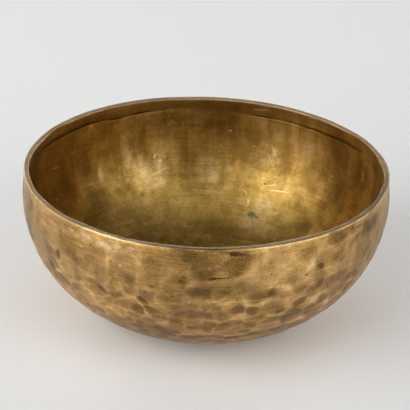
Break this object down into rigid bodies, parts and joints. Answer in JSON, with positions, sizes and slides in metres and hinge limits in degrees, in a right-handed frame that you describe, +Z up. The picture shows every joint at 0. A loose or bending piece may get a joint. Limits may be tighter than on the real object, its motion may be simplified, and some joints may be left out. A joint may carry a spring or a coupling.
{
  "type": "bronze bowl",
  "caption": "Deep round hand-beaten bronze bowl with a flat base, a slightly leaning-in wall covered in hammer marks and a thick flat lip.",
  "frame": {"origin": "centre of the flat base, on the surface that the bowl stands on", "axes": "+Z up along the bowl's axis; -Y towards the viewer of the picture"},
  "size_m": [0.2423, 0.2423, 0.104],
  "materials": {
    "aged_bronze": "hand-beaten and worn, satin, with brown patina in the hammer marks and polished high spots"
  },
  "bodies": {
    "root": {"bowl": "aged_bronze"}
  },
  "joints": []
}
